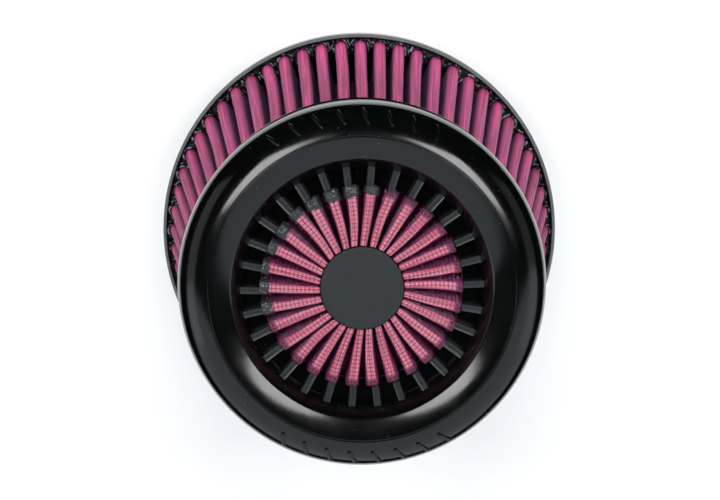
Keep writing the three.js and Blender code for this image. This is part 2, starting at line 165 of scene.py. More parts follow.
def ring_faces(rows, columns, wrap_rows=True, wrap_columns=True, first=0):
    """Faces that join a grid of points, rows by columns, closing on itself where asked."""
    faces = []
    for i in range(rows if wrap_rows else rows - 1):
        for j in range(columns if wrap_columns else columns - 1):
            a, b = i * columns, ((i + 1) % rows) * columns
            k = (j + 1) % columns
            faces.append((first + a + j, first + b + j, first + b + k, first + a + k))
    return faces


def turned(outline, steps=ROUND_STEPS):
    """Points and faces of a closed outline, anticlockwise in radius and z, turned about Z."""
    points = []
    for i in range(steps):
        turn = 2 * math.pi * i / steps
        points += [(r * math.cos(turn), r * math.sin(turn), z) for r, z in outline]
    return points, ring_faces(steps, len(outline))


black_rubber = moulded_rubber("black_moulded_polyurethane", "040505", 0.12, 0.4)
base_outline = rounded_outline([
    (NECK_BORE, 0, 0.6),
    (NECK_BEAD, 0, 0.9),
    (NECK_BEAD, 3.5 * MM, 0.9),
    (NECK_RADIUS, 4.3 * MM, 0.5),
    (NECK_RADIUS, NECK_LENGTH, 2.4),
    (BASE_RADIUS, NECK_LENGTH, 1.6),
    (BASE_RADIUS, LIP_TOP, 1.15),
    (BASE_RADIUS - LIP_WALL, LIP_TOP, 0.45),
    (BASE_RADIUS - LIP_WALL - 0.2 * MM, TROUGH_FLOOR, 0),
    (INNER_LIP[1], TROUGH_FLOOR, 0),
    (INNER_LIP[1], LIP_TOP, 0.6),
    (INNER_LIP[0], LIP_TOP, 0.6),
    (INNER_LIP[0] - MM, TROUGH_FLOOR, 1.5),
    (NECK_BORE, TROUGH_FLOOR, 3),
])
add_piece("base_ring", *turned(base_outline), black_rubber, 40, "base_ring_and_neck")

# ---- Trimmed edge of the base ring ----
# The mould parts along the top of the lip, where the flash is trimmed off by hand. Along that edge
# the rubber is dull and painted pale grey, as a painted reflection of the lip's rounded top.

lip_outline = rounded_outline([
    (BASE_RADIUS - LIP_WALL + 0.3 * MM, LIP_TOP - 0.5 * MM, 0),
    (BASE_RADIUS - 0.45 * MM, LIP_TOP - 0.9 * MM, 0),
    (BASE_RADIUS - 0.12 * MM, LIP_TOP - 0.5 * MM, 0.2),
    (BASE_RADIUS - 0.5 * MM, LIP_TOP, 0.35),
    (BASE_RADIUS - LIP_WALL + 0.3 * MM, LIP_TOP, 0.2),
])
# its pale grey colour is a painted reflection along the top of the lip
lip_reflection_rubber = moulded_rubber("painted_reflection_lip_polyurethane", "575d63", 0.5, 0.6)
add_piece("base_lip_edge", *turned(lip_outline), lip_reflection_rubber, 40)

# ---- Pleated side ----
# Layers of cotton gauze, oiled and dyed, folded with woven wire into 60 deep round pleats that
# taper towards the front. The folds are never quite even, so each pleat leans and swells a little.

SIDE_ENDS = tuple(corner.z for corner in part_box("side_cotton"))
SIDE_PLEATS = 60
# each of these pairs is the size at the rear and at the front
TIP = (73.6 * MM, 59.6 * MM)
CREST_HALF = (2.3 * MM, 1.9 * MM)
VALLEY_HALF = (0.9 * MM, 0.45 * MM)
SIDE_DEPTH = 16 * MM
LEAST_CROWN = 0.6 * MM
COTTON = 1.0 * MM
SIDE_HEIGHTS = 26
CREST_STEPS = 5
SIDE_STEPS = 4
WIRE_PITCH = 25.4 / 18 * MM
shuffle = random.Random(12)


def between(ends, share):
    """The value at a share of the way from the first end to the second."""
    return ends[0] + (ends[1] - ends[0]) * share


def pleat_section(crest_half, valley_half, pitch):
    """A pleat's section as (across, depth), from one valley's middle to the next: a flat valley
    floor, a straight side and a crest with round shoulders."""
    crown = max(crest_half, LEAST_CROWN)
    half = [(pitch / 2, SIDE_DEPTH), (pitch / 2 - valley_half * 0.7, SIDE_DEPTH),
            (pitch / 2 - valley_half, SIDE_DEPTH - 0.5 * MM)]
    foot = half[-1]
    for k in range(1, SIDE_STEPS):
        share = k / SIDE_STEPS
        half.append((between((foot[0], crest_half), share), between((foot[1], crown), share)))
    for k in range(CREST_STEPS):
        turn = math.pi / 2 * k / CREST_STEPS
        half.append((crest_half * math.cos(turn) ** 0.8, crown * (1 - math.sin(turn))))
    return [(-x, y) for x, y in half[1:]] + [(0, 0)] + half[::-1]


def side_face(inset):
    """Grid of points on one face of the side pleats, from the rear end to the front end."""
    rows = []
    for h in range(SIDE_HEIGHTS + 1):
        share = h / SIDE_HEIGHTS
        belly = math.sin(math.pi * share)
        tip = between(TIP, share) - inset
        section = pleat_section(between(CREST_HALF, share) - inset,
                                between(VALLEY_HALF, share) + inset * 0.9,
                                2 * math.pi * (tip - SIDE_DEPTH) / SIDE_PLEATS)
        row = []
        for i, (lean, swell, bow, phase) in enumerate(side_habits):
            drift = lean * (0.4 + 0.6 * belly) + bow * math.sin(3 * share + phase) * belly
            for x, depth in section[:-1]:
                nearness = 1 - depth / SIDE_DEPTH
                radius = tip - depth
                across = x * (1 + swell * nearness * belly) + drift * nearness
                turn = 2 * math.pi * i / SIDE_PLEATS + across / radius
                row.append((radius * math.cos(turn), radius * math.sin(turn),
                            between(SIDE_ENDS, share)))
        rows.append(row)
    return rows


# how each pleat leans, swells and bows
side_habits = [(shuffle.gauss(0, 0.22) * MM, shuffle.gauss(0, 0.05), shuffle.gauss(0, 0.2) * MM,
                shuffle.uniform(0, 6)) for _ in range(SIDE_PLEATS)]


def wire_waves(tree, parts, shape):
    """Links for a node's first two inputs: a wave across the folds and one along them, which swing
    once in each cell of the wire, from the parts of a map in millimetres."""
    links = {}
    for i, axis in enumerate(("X", "Y")):
        turns = add_node(tree, "Math", {"operation": "MULTIPLY", 1: math.pi * MM / WIRE_PITCH},
                         {0: (parts, axis)})
        wave = add_node(tree, "Math", {"operation": shape}, {0: turns})
        links[i] = add_node(tree, "Math", {"operation": "ABSOLUTE"}, {0: wave})
    return links


def dyed_cotton(name, thread_colour, hollow_colour, edge_sheen_colour, side_shade_colour, streak, edge_mm,
                puff_highlight_colour=None):
    """Cotton gauze wet with dyed oil: a soft matt cloth, darker in its hollows and streaky along
    the fold where the oil has run. The crest keeps the dye's own colour. The dusty mauve along the
    crest's edges is a painted sheen, and the thick dark colour down the sides is painted shade.
    Where wire is laid over it, the cloth puffs up in each cell, with a pale painted highlight on
    each puff."""
    material, tree, shader = new_material(name, {
        "Roughness": 0.62, "Specular IOR Level": 0.35, "Sheen Weight": 0.1,
        "Sheen Roughness": 0.45, "Sheen Tint": linear("b9a4dc")})
    cloth = add_node(tree, "UVMap", {"uv_map": "cloth"})
    # the threads are drawn 0.7 mm apart, a little coarser than real gauze, so that they show
    across, along = [
        (add_node(tree, "TexWave", {"Scale": 1 / (0.7 * 2 * math.pi) * 20 / 3.18,
                                    "Distortion": 1.2, "Detail": 2.0, "bands_direction": axis},
                  {"Vector": cloth}), "Fac") for axis in ("X", "Y")]
    weave = add_node(tree, "Math", {"operation": "MAXIMUM"}, {0: across, 1: along})
    # oil has run in streaks 0.8 mm wide and 90 mm long
    stretch = add_node(tree, "Mapping", {"Scale": (1 / 0.8, 1 / 90, 1)}, {"Vector": cloth})
    runs = add_node(tree, "TexNoise", {"Scale": 1.0, "Detail": 3.0, "Roughness": 0.5},
                    {"Vector": stretch})
    fuzz = add_node(tree, "TexNoise", {"Scale": 1.6, "Detail": 6.0}, {"Vector": cloth})
    wet = add_node(tree, "MapRange", {"From Min": 0.42, "From Max": 0.56, "To Max": streak},
                   {"Value": runs})
    hollow = add_node(tree, "MapRange", {"From Max": 0.7, "To Min": 0.35, "To Max": 0.0},
                      {"Value": weave})
    depth = add_node(tree, "Math", {"operation": "ADD", "use_clamp": True}, {0: wet, 1: hollow})
    tint = add_node(tree, "Mix", {"data_type": "RGBA", "A": linear(thread_colour),
                                  "B": linear(hollow_colour)}, {"Factor": depth})
    fold = add_node(tree, "UVMap", {"uv_map": "fold"})
    parts = add_node(tree, "SeparateXYZ", {}, {"Vector": fold})
    from_crest = add_node(tree, "Math", {"operation": "ABSOLUTE"}, {0: (parts, "X")})
    waver = add_node(tree, "Math", {"operation": "MULTIPLY_ADD", 1: 1.2}, {0: runs, 2: from_crest})
    # painted sheen along the crest's edges and painted shade down the sides, by millimetres from
    # the crest's middle
    for start, end, colour in ((0.2, 1.2, edge_sheen_colour), (1.6, 3.6, side_shade_colour)):
        share = add_node(tree, "MapRange", {"From Min": edge_mm + start, "From Max": edge_mm + end},
                         {"Value": waver})
        tint = add_node(tree, "Mix", {"data_type": "RGBA", "B": linear(colour)},
                        {"Factor": share, "A": tint})
    height = add_node(tree, "Math", {"operation": "MULTIPLY_ADD", 1: 0.6}, {0: fuzz, 2: weave})
    if puff_highlight_colour:
        puff = add_node(tree, "Math", {"operation": "MULTIPLY"}, wire_waves(tree, parts, "COSINE"))
        # a pale painted highlight on the top of each puff
        puff_highlight_mask = add_node(tree, "MapRange", {"From Min": 0.62, "From Max": 1.0, "To Max": 0.75},
                        {"Value": puff})
        # the outer 1.5 mm of each fold is soaked with rubber from the rim
        frayed = add_node(tree, "Math", {"operation": "MULTIPLY_ADD", 1: 3.0},
                          {0: fuzz, 2: (parts, "Y")})
        soaked = add_node(tree, "MapRange", {"From Min": 4.3, "From Max": 3.0, "To Max": 0.92},
                          {"Value": frayed})
        for share, colour in ((puff_highlight_mask, puff_highlight_colour), (soaked, "2c1226")):
            tint = add_node(tree, "Mix", {"data_type": "RGBA", "B": linear(colour)},
                            {"Factor": share, "A": tint})
        height = add_node(tree, "Math", {"operation": "MULTIPLY_ADD", 1: 3.0}, {0: puff, 2: height})
    bump = add_node(tree, "Bump", {"Strength": 0.55, "Distance": 0.12 * MM}, {"Height": height})
    connect(tree, shader, {"Base Color": tint, "Normal": bump})
    return material


def arc_lengths(row):
    """Distance in millimetres along a row of points."""
    steps = np.linalg.norm(np.diff(np.array(row), axis=0), axis=1)
    return np.concatenate([[0], np.cumsum(steps)]) / MM


def crest_distances(row, pleats):
    """Signed distance in millimetres of each point of a row from its own crest's middle."""
    lengths = arc_lengths(list(row) + [row[0]])
    per_pleat = len(row) // pleats
    distances = []
    for start in range(0, pleats * per_pleat, per_pleat):
        middle = lengths[start + per_pleat // 2]
        distances += [lengths[start + k] - middle for k in range(per_pleat)]
    return np.array(distances)


def lay_map(mesh, name, across, along, whole=None):
    """A map in millimetres from a value across the folds and one along them at each vertex. A face
    that closes the ring takes the far end of the whole map instead of running back over it."""
    vertex = np.zeros(len(mesh.loops), int)
    mesh.loops.foreach_get("vertex_index", vertex)
    across = across[vertex]
    if whole:
        starts = np.zeros(len(mesh.polygons), int)
        mesh.polygons.foreach_get("loop_start", starts)
        for start in starts:
            corners = across[start:start + 4]
            if corners.max() - corners.min() > whole / 2:
                corners[corners < whole / 2] += whole
    layer = mesh.uv_layers.new(name=name)
    layer.data.foreach_set("uv", np.stack([across, along[vertex]], 1).ravel())


def folded_sheet(name, outer, inner, pleats, along_mm, material, slot, node, cloth_row=None,
                 fold_end=None):
    """A folded sheet between two grids of points that takes a CAD layer's place. Its cloth map runs
    across the folds by the lengths of one row. Its fold map runs from the nearest crest's middle,
    and along the fold, back from an end where one is given."""
    rows = outer + inner[::-1]
    columns = len(rows[0])
    piece = add_piece(name, [p for row in rows for p in row],
                      [f[::-1] for f in ring_faces(len(rows), columns)], material, 60, node,
                      slot=slot)
    along = np.repeat([along_mm(row[0]) for row in rows], columns)
    if cloth_row:
        lengths = arc_lengths(cloth_row)
        lay_map(piece.data, "cloth", np.tile(lengths, len(rows)), along,
                lengths[-1] * columns / (columns - 1))
    lay_map(piece.data, "fold", np.concatenate([crest_distances(row, pleats) for row in rows]),
            along if fold_end is None else fold_end - along)


def height_mm(point):
    """Height of a point in millimetres."""
    return point[2] / MM


# the third and fourth colours are painted sheen on the crests' edges and painted shade down the
# sides
side_cotton = dyed_cotton("magenta_oiled_cotton", "ce347e", "8a1c50", "9a2c66", "340c28", 1.0, 1.6)
outside = side_face(0)
folded_sheet("side_pleats", outside, side_face(COTTON), SIDE_PLEATS, height_mm, side_cotton,
             "side_cotton", "side_cotton", cloth_row=outside[SIDE_HEIGHTS // 2])

# ---- Rubber round the rear ends of the side pleats ----
# The rubber was poured round the folded ends. It rose a little against each pleat and set there as
# a thin ragged collar, which catches the light between the pleat tips and the lip.

POUR_LEVEL = LIP_TOP - 1.7 * MM
COLLAR_HEIGHT = 2.9 * MM
COLLAR_OFFSET = 0.6 * MM
COLLAR_WIDTH = 0.48 * MM
COLLAR_DEPTH = 5 * MM
POUR_AROUND = SIDE_PLEATS * 26
POUR_RADII = 34


def collar_rise(turn, radius, tip):
    """How high the rubber rises at a place, as a share of the highest collar: a ridge that follows
    the nearest pleat's outline, is ragged along its length, and fades out between the pleats."""
    pleat = round(turn / (2 * math.pi) * SIDE_PLEATS)
    middle = 2 * math.pi * pleat / SIDE_PLEATS
    across = abs((turn - middle) * radius - side_habits[pleat % SIDE_PLEATS][0] * 0.4)
    depth = tip - radius
    crest = CREST_HALF[0]
    gap = (math.hypot(across, crest - depth) if depth < crest else across) - crest
    strength = collar_strength[pleat % SIDE_PLEATS][0 if turn > middle else 1]
    patchy = 0.42 + 1.5 * noise.noise(Vector((radius * 520, turn * 47, pleat * 3.3)))
    stray = COLLAR_OFFSET * (1 + noise.noise(Vector((radius * 330, turn * 29, pleat * 7.1))))
    ridge = math.exp(-((gap - stray) / COLLAR_WIDTH) ** 2)
    fade = 1 / (1 + math.exp((depth - COLLAR_DEPTH) / (0.8 * MM)))
    return ridge * strength * min(1, max(0.03, patchy)) * fade


def poured_surface():
    """The rubber's surface over the trough, with an underside that closes the piece."""
    ends = (INNER_LIP[1] + 0.2 * MM, BASE_RADIUS - LIP_WALL + 0.15 * MM)
    tip = between(TIP, (POUR_LEVEL - SIDE_ENDS[0]) / (SIDE_ENDS[1] - SIDE_ENDS[0]))
    points = []
    for i in range(POUR_RADII):
        # rows crowd towards the tips, where the collars are
        radius = between(ends, 1 - (1 - i / (POUR_RADII - 1)) ** 1.7)
        for j in range(POUR_AROUND):
            turn = 2 * math.pi * j / POUR_AROUND
            points.append((radius * math.cos(turn), radius * math.sin(turn),
                           POUR_LEVEL + COLLAR_HEIGHT * collar_rise(turn, radius, tip)))
    faces = ring_faces(POUR_RADII, POUR_AROUND, wrap_rows=False)
    first = len(points)
    last = first - POUR_AROUND
    outer_low = first + POUR_AROUND
    floor = TROUGH_FLOOR + 0.2 * MM
    points += [(x, y, floor) for x, y, _ in points[:POUR_AROUND] + points[last:]]
    for j in range(POUR_AROUND):
        k = (j + 1) % POUR_AROUND
        faces += [(j, k, first + k, first + j), (last + k, last + j, outer_low + j, outer_low + k),
                  (first + j, first + k, outer_low + k, outer_low + j)]
    return points, faces


collar_strength = [(shuffle.uniform(0.3, 1.0), shuffle.uniform(0.3, 1.0))
                   for _ in range(SIDE_PLEATS)]
poured_rubber = moulded_rubber("poured_polyurethane_collar", "090a0b", 0.12, 1.0)
# the thin tops of the collars are painted pale grey: a painted highlight for the glints they catch
tree = poured_rubber.node_tree
shader = tree.nodes["Principled BSDF"]
place = (add_node(tree, "TexCoord"), "Object")
parts = add_node(tree, "SeparateXYZ", {}, {"Vector": place})
ragged_glint_noise = add_node(tree, "TexNoise", {"Scale": 1 / (0.8 * MM), "Detail": 3.0}, {"Vector": place})
raised = add_node(tree, "Math", {"operation": "MULTIPLY_ADD", 1: 1.2 * MM},
                  {0: ragged_glint_noise, 2: (parts, "Z")})
thin = add_node(tree, "MapRange", {"From Min": POUR_LEVEL + 1.3 * MM,
                                   "From Max": POUR_LEVEL + 2.2 * MM}, {"Value": raised})
dark = shader.inputs["Base Color"].links[0].from_node
collar_glint_tint = add_node(tree, "Mix", {"data_type": "RGBA", "B": linear("8d9498")},
                 {"Factor": thin, "A": dark})
connect(tree, shader, {"Base Color": collar_glint_tint})
add_piece("base_collars", *poured_surface(), poured_rubber, 70)

# ---- Front rim ----
# A second moulding of the same rubber, cast over the front ends of the side pleats. Outside it is a
# fat round bead, inside a shallow bowl that ends in a sharp step above the floor between the bars.

RIM_LOW, RIM_TOP = [corner.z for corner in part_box("front_rim")]
RIM_RADIUS = 62.5 * MM
CREASE = 52.2 * MM
BEAD = 12.4 * MM
BEAD_CENTRE = (RIM_RADIUS - BEAD, RIM_TOP - 12.22 * MM)
STEP_RADIUS = 40.6 * MM
SHELF_TOP = RIM_TOP - 11.2 * MM
SHELF_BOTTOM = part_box("front_back_mesh")[0].z - 1.2 * MM
SHELF_RADIUS = 34.3 * MM
SKIRT_INNER = 61.1 * MM
RIM_LIP = (38.7 * MM, 41.5 * MM)
TROUGH_TOP = SIDE_ENDS[1] + 0.3 * MM
BEAD_STEPS = 32
BOWL_STEPS = 60


def rim_outline():
    """The rim's section: skirt, bead, the fine parting groove on the crease, and the bowl."""
    outline = rounded_outline([
        (SHELF_RADIUS, SHELF_BOTTOM, 0),
        (RIM_LIP[0], SHELF_BOTTOM, 0.4),
        (RIM_LIP[0], RIM_LOW, 0.8),
        (RIM_LIP[1], RIM_LOW, 0.8),
        (RIM_LIP[1], TROUGH_TOP, 0),
        (TIP[1] + 0.5 * MM, TROUGH_TOP, 0),
        (SKIRT_INNER, RIM_LOW, 0.5),
        (RIM_RADIUS + 0.4 * MM, RIM_LOW, 1.0),
    ])
    bead_end = math.acos((CREASE - BEAD_CENTRE[0]) / BEAD)
    for k in range(BEAD_STEPS + 1):
        turn = bead_end * k / BEAD_STEPS
        outline.append((BEAD_CENTRE[0] + BEAD * math.cos(turn),
                        BEAD_CENTRE[1] + BEAD * math.sin(turn)))
    crease_r, crease_z = outline[-1]
    outline += [(crease_r - inwards * MM, crease_z - down * MM)
                for inwards, down in ((0.12, 0.16), (0.34, 0.2), (0.5, 0.06), (0.66, 0.02))]
    # the bowl is a gentle trumpet that turns down hard just before the step
    radius, z = outline[-1]
    width = (radius - STEP_RADIUS) / BOWL_STEPS
    for k in range(BOWL_STEPS):
        share = (k + 0.5) / BOWL_STEPS
        bend = min(1, max(0, share - 0.61) / 0.1)
        tilt = math.radians(8 + 20 * share + 28 * bend * bend * (3 - 2 * bend))
        radius -= width
        z -= width * math.tan(tilt)
        outline.append((radius, z))
    return outline + [(STEP_RADIUS - 0.05 * MM, z - 0.1 * MM),
                      (STEP_RADIUS + 0.05 * MM, z - 0.35 * MM),
                      (STEP_RADIUS + 0.15 * MM, SHELF_TOP), (SHELF_RADIUS, SHELF_TOP)]


# The shelf inside the step reflects much less than the rest, so it is very dark there, while the
# bowl and the bead are as shiny as the base ring.
rim_rubber = moulded_rubber("rim_moulded_polyurethane", "040505", 0.12, 0.4)
tree = rim_rubber.node_tree
place = (add_node(tree, "TexCoord"), "Object")
flat = add_node(tree, "VectorMath", {"operation": "MULTIPLY", 1: (1, 1, 0)}, {0: place})
reach = add_node(tree, "VectorMath", {"operation": "LENGTH"}, {0: flat})
shelf_shine = add_node(tree, "MapRange", {
    "From Min": STEP_RADIUS - 0.1 * MM, "From Max": STEP_RADIUS + 0.4 * MM, "To Min": 0.1,
    "To Max": 0.5}, {"Value": reach})
connect(tree, tree.nodes["Principled BSDF"], {"Specular IOR Level": shelf_shine})
add_piece("front_rim_moulding", *turned(rim_outline()), rim_rubber, 30, "front_rim")

# ---- Bars from the bowl to the front pleats ----
# Each crest sat in a slot of the mould, and the rubber ran up the slot as a little square bar. Its
# top shrank as it set, so it is slightly dished, and no two bars are quite in line.

FRONT_PLEATS = 30
FRONT_TURN = math.radians(1.5)
FRONT_OUTER = 34 * MM
BAR_HALF = 1.275 * MM
BAR_TOP = RIM_TOP - 5.75 * MM
BAR_FOOT = SHELF_TOP - 0.5 * MM
BAR_BEVEL = 0.3 * MM
BAR_DISH = 0.12 * MM
BAR_FALL = 0.25 * MM

bar_half_section = [(-BAR_HALF - 0.25 * MM, BAR_FOOT), (-BAR_HALF, BAR_TOP - BAR_BEVEL),
                    (-BAR_HALF + 0.4 * BAR_BEVEL, BAR_TOP - 0.3 * BAR_BEVEL),
                    (-BAR_HALF + BAR_BEVEL, BAR_TOP),
                    (-BAR_HALF + 2.2 * BAR_BEVEL, BAR_TOP - BAR_DISH)]
bar_section = bar_half_section + [(-x, z) for x, z in bar_half_section[::-1]]
bar_points, bar_faces = [], []
bar_habits = [(shuffle.gauss(0, 1.0), shuffle.gauss(0, 0.25) * MM, shuffle.uniform(-0.3, 0.5) * MM)
              for _ in range(FRONT_PLEATS)]
for i, (twist, shift, longer) in enumerate(bar_habits):
    rotate = Matrix.Rotation(FRONT_TURN + 2 * math.pi * i / FRONT_PLEATS, 3, "Z")
    skew = math.tan(math.radians(twist))
    inner = FRONT_OUTER + 0.15 * MM - longer
    first = len(bar_points)
    # the inner end is a little lower and narrower
    stations = ((inner, 0.35 * MM, 0.84), (inner + 0.3 * MM, 0.0, 1.0),
                (STEP_RADIUS + 0.5 * MM, 0.0, 1.0))
    for along, sink, narrow in stations:
        fall = sink + BAR_FALL * (STEP_RADIUS - along) / (STEP_RADIUS - FRONT_OUTER)
        for x, z in bar_section:
            across = x * narrow + shift + (along - STEP_RADIUS) * skew
            bar_points.append(rotate @ Vector((along, across, z - (fall if z > BAR_FOOT else 0))))
    size = len(bar_section)
    bar_faces += [f[::-1] for f in ring_faces(len(stations), size, wrap_rows=False, first=first)]
    bar_faces += [tuple(range(first, first + size))[::-1],
                  tuple(range(first + 2 * size, first + 3 * size))]
bar_rubber = moulded_rubber("satin_polyurethane_bars", "15181a", 0.3, 0.8)
add_piece("crest_bars", bar_points, bar_faces, bar_rubber, 25)

# ---- Grip ribs on the rim ----
# Raised slanted ribs moulded in the bead, in two groups on opposite sides, to hold the filter by
# when it is pulled off. They are the rim's own rubber and fade out at both ends.

GRIP_RIBS = 8
GRIP_SPREAD = math.radians(56)
GRIP_CENTRES = (math.radians(93), math.radians(271))
GRIP_WIDTH = 1.7 * MM
GRIP_PROUD = 0.7 * MM
GRIP_SUNK = 0.5 * MM
GRIP_ROOT = BEAD - 1.2 * MM
GRIP_SLANT = math.radians(24)
# where a rib starts and ends on the bead, from the bead's top
GRIP_ENDS = (math.radians(24), math.radians(58))
GRIP_ROWS, GRIP_COLUMNS = 15, 9

grip_points, grip_faces = [], []
for i in range(2 * GRIP_RIBS):
    turn = GRIP_CENTRES[i // GRIP_RIBS] + GRIP_SPREAD * (i % GRIP_RIBS / (GRIP_RIBS - 1) - 0.5)
    middle = math.pi / 2 - sum(GRIP_ENDS) / 2
    place = (Matrix.Rotation(turn, 4, "Z") @ Matrix.Translation((BEAD_CENTRE[0], 0, BEAD_CENTRE[1]))
             @ Matrix.Rotation(GRIP_SLANT, 4, Vector((math.cos(middle), 0, math.sin(middle)))))
    first = len(grip_points)
    roots = []
    for k in range(GRIP_ROWS):
        share = k / (GRIP_ROWS - 1)
        angle = math.pi / 2 - between(GRIP_ENDS, share)
        end = min(share, 1 - share) * (GRIP_ENDS[1] - GRIP_ENDS[0]) * BEAD / (GRIP_WIDTH / 2)
        run_out = math.sqrt(max(0, 1 - (1 - min(end, 1)) ** 2))
        for c in range(GRIP_COLUMNS):
            side = 2 * c / (GRIP_COLUMNS - 1) - 1
            crown = (1 - abs(side) ** 4) * (0.25 + 0.75 * run_out) * (0 < share < 1)
            reach = BEAD - GRIP_SUNK + (GRIP_PROUD + GRIP_SUNK) * crown
            across = side * GRIP_WIDTH / 2 * (0.35 + 0.65 * run_out)
            grip_points.append(place @ Vector((reach * math.cos(angle), across,
                                               reach * math.sin(angle))))
        roots.append(place @ Vector((GRIP_ROOT * math.cos(angle), 0, GRIP_ROOT * math.sin(angle))))
    grip_faces += ring_faces(GRIP_ROWS, GRIP_COLUMNS, False, False, first)
    root = len(grip_points)
    grip_points += roots
    for k in range(GRIP_ROWS - 1):
        a, b = first + k * GRIP_COLUMNS, first + (k + 1) * GRIP_COLUMNS
        last = GRIP_COLUMNS - 1
        grip_faces += [(b, root + k + 1, root + k, a), (root + k, root + k + 1, b + last, a + last)]
    grip_faces += [[*range(first, first + GRIP_COLUMNS), root],
                   [*range(root - GRIP_COLUMNS, root), root + GRIP_ROWS - 1][::-1]]
add_piece("grip_ribs", grip_points, grip_faces, black_rubber, 50)

# ---- Pleats across the front ----
# The same gauze in a smaller flat pack: 30 radial pleats with flat crests, thin at the middle and
# wider at the outside, salmon red where the light reaches them.

FRONT_INNER = 14.4 * MM
FRONT_DEPTH = 15 * MM
CREST_TOP = RIM_TOP - 5.8 * MM
CREST_RISE = 1.3 * MM
# each pair is the size at the outer and at the inner end
FRONT_ENDS = (FRONT_OUTER, FRONT_INNER)
FRONT_CREST_HALF = (2.0 * MM, 1.15 * MM)
FRONT_VALLEY_HALF = (0.75 * MM, 0.25 * MM)
FRONT_SHOULDER = 0.45 * MM
FRONT_STATIONS = 16
FACE_GAP = 0.28 * MM
FRONT_COTTON = 0.45 * MM
PLEAT_SKEW = 1.3 * MM
# how each pleat leans and sways, with a draw between them that isn't used
front_habits = [(shuffle.gauss(0, 0.16) * MM, shuffle.gauss(0, 0.05), shuffle.gauss(0, 0.35) * MM)
                for _ in range(FRONT_PLEATS)]


def front_section(share, sink, crest_steps=3, side_steps=4):
    """A front pleat's section as (across, depth): flat crest, small round shoulders, flared sides.
    It is taken at a share of the way inwards, and sunk below the wire."""
    pitch = 2 * math.pi * between(FRONT_ENDS, share) / FRONT_PLEATS
    crest_half = between(FRONT_CREST_HALF, share) - sink * 0.8
    valley_half = between(FRONT_VALLEY_HALF, share) + sink * 0.8
    foot = pitch / 2 - valley_half
    half = [(pitch / 2, FRONT_DEPTH), (foot, FRONT_DEPTH)]
    for k in range(1, side_steps):
        up = k / side_steps
        half.append((between((foot, crest_half), up ** 1.25),
                     between((FRONT_DEPTH, FRONT_SHOULDER), up)))
    for k in range(crest_steps + 1):
        turn = math.pi / 2 * k / crest_steps
        half.append((crest_half - FRONT_SHOULDER * (1 - math.cos(turn)),
                     FRONT_SHOULDER * (1 - math.sin(turn))))
    half.append((crest_half * 0.45, -0.05 * MM))
    return [(-x, y) for x, y in half[1:]] + [(0, -0.07 * MM)] + half[::-1]


def front_point(i, share, x, depth, sink):
    """A place on the front pack: pleat number, share from outside to inside, and section point."""
    lean, _, sway = front_habits[i % FRONT_PLEATS]
    radius = between(FRONT_ENDS, share)
    nearness = 1 - depth / FRONT_DEPTH
    across = x + lean * nearness + sway * math.sin(math.pi * share) * nearness
    across += PLEAT_SKEW * (share - 0.5)
    turn = FRONT_TURN + 2 * math.pi * i / FRONT_PLEATS + across / radius
    z = CREST_TOP + CREST_RISE * share - depth - sink
    return radius * math.cos(turn), radius * math.sin(turn), z


def front_face(sink):
    """Grid of points on one face of the front pleats, from the outer end to the inner end."""
    shares = [s / FRONT_STATIONS for s in range(FRONT_STATIONS + 1)]
    return [[front_point(i, share, x, depth, sink) for i in range(FRONT_PLEATS)
             for x, depth in front_section(share, sink)[:-1]] for share in shares]


def radius_mm(point):
    """Distance of a point from the axis in millimetres."""
    return math.hypot(point[0], point[1]) / MM


# the third and fourth colours are painted sheen and painted shade, and the last is a painted
# highlight on each puff
front_cotton = dyed_cotton("salmon_oiled_cotton", "cc808c", "a83a4c", "8a3a66", "431232", 0.6, 1.5,
                           "eeb0b4")
top = front_face(FACE_GAP)
folded_sheet("front_pleats", top, front_face(FACE_GAP + FRONT_COTTON), FRONT_PLEATS, radius_mm,
             front_cotton, "front_cotton", "front_cotton", cloth_row=top[0],
             fold_end=FRONT_OUTER / MM)

# ---- Rubber run over some crests ----
# Over part of the circle the mould leaked: the rubber crept inwards over the crests' outer ends and
# set as a lumpy shiny skin, with a thin wing of flash on each side of the crest.

LEAK_ENDS = (math.radians(76), math.radians(204))
LEAK_ROWS, LEAK_COLUMNS = 17, 29
LEAK_THICK = 0.5 * MM
LEAK_WING = 0.75 * MM
LEAK_UNDER = 0.45 * MM

